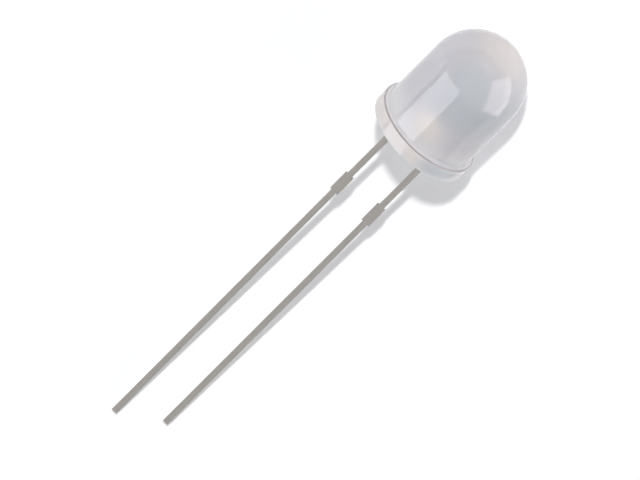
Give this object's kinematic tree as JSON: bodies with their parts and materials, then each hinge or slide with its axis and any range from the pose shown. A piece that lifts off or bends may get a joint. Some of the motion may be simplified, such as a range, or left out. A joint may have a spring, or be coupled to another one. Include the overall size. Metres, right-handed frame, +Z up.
{
  "type": "through hole led",
  "caption": "Round through hole LED: milky domed lens with a flange, on long straight square leads with stand-off stops.",
  "frame": {"origin": "centre of the lens body's flat base, midway between the leads", "axes": "+Z up as the part lies on the flange's rear rim and both lead tips; +X level, along the leads from their tips towards the dome, which the optical axis points 6.75 degrees above; +Y from the cathode lead towards the anode lead"},
  "size_m": [0.0462, 0.0086, 0.0091],
  "materials": {
    "milky_epoxy": "gloss",
    "tinned_steel": "satin",
    "led_chip": "gloss",
    "silver_adhesive": "matte",
    "gold_wire": "polished"
  },
  "bodies": {
    "root": {"lens_body": "milky_epoxy", "anode_lead": "tinned_steel", "cathode_lead": "tinned_steel", "led_die": "led_chip", "die_attach": "silver_adhesive", "bond_wire": "gold_wire"}
  },
  "joints": []
}
